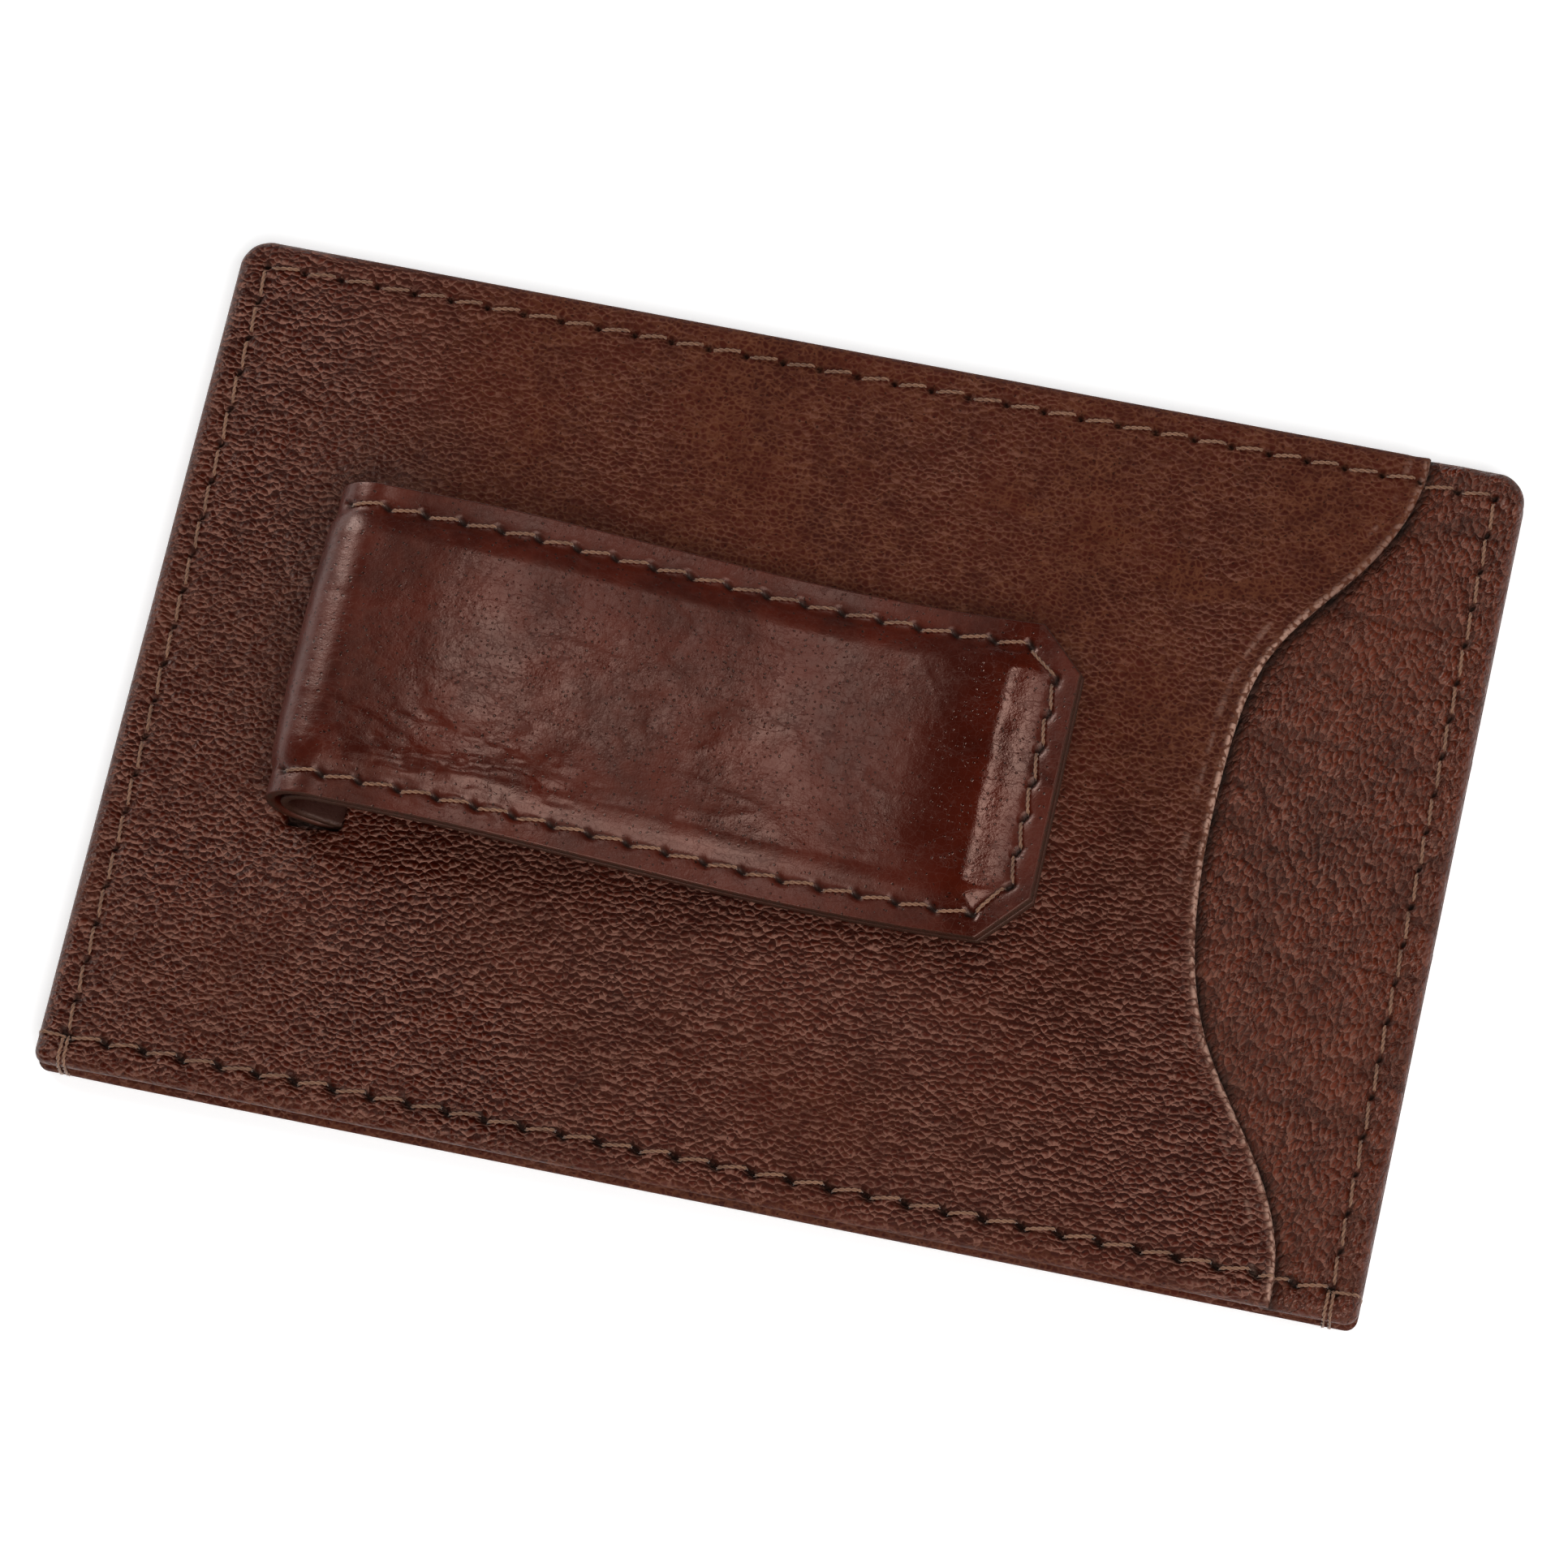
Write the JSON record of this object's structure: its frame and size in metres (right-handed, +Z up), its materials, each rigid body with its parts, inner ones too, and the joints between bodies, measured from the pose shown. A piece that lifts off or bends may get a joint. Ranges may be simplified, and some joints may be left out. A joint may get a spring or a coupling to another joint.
{
  "type": "minimalist wallet",
  "caption": "Slim leather card case with a wave-cut outer pocket, an open-mouth middle pocket and a leather-covered spring money clip on its back.",
  "frame": {"origin": "under the middle of the case, on the surface that it lies on", "axes": "+X along the long side from the clip's bend towards its tip, +Y from the open mouth to the closed long edge, +Z up out of the side with the clip"},
  "size_m": [0.104, 0.07, 0.0124],
  "materials": {
    "pocket_leather": "pebbled, semi-matt brown",
    "back_leather": "coarse natural grain, brown",
    "front_leather": "pebbled, semi-matt brown",
    "clip_leather": "smooth, glossy dark brown",
    "lining_fabric": "thin woven lining",
    "edge_tape": "light tan tape",
    "thread": "twisted tan thread",
    "filler_board": "stiff fibre board",
    "spring_steel": "blued spring steel strip"
  },
  "bodies": {
    "case": {"front_lower_slot_panel": "front_leather", "front_upper_slot_panel": "front_leather", "front_slot_backing": "lining_fabric", "front_base_panel": "front_leather", "front_lining": "lining_fabric", "mouth_tape": "edge_tape", "back_lining": "lining_fabric", "back_stiffener": "filler_board", "back_base_panel": "back_leather", "pocket_lining": "lining_fabric", "back_pocket_panel": "pocket_leather", "clip_lower_leaf": "spring_steel", "clip_spring_bend": "spring_steel", "clip_lower_cover": "clip_leather", "clip_bend_outer_cover": "clip_leather", "clip_bend_inner_cover": "clip_leather", "clip_anchor_patch": "lining_fabric", "top_edge_stitching": "thread", "back_mouth_stitching": "thread", "left_edge_stitching": "thread", "right_edge_stitching": "thread", "front_mouth_stitching": "thread", "mouth_tack_left": "thread", "mouth_tack_right": "thread"},
    "clip_arm": {"clip_upper_leaf": "spring_steel", "clip_filler_pad": "filler_board", "clip_top_cover": "clip_leather", "clip_under_cover": "clip_leather", "clip_stitching": "thread"}
  },
  "joints": [
    {"name": "clip_hinge", "type": "hinge", "parent": "case", "child": "clip_arm", "pos_m": [-0.0342, 0.0008, 0.0079], "axis": [0, -1, 0], "range_deg": [0, 15], "stiffness_Nm_per_rad": 3, "springref_deg": -1.15, "deforming": ["clip_spring_bend", "clip_bend_outer_cover", "clip_bend_inner_cover"]}
  ]
}
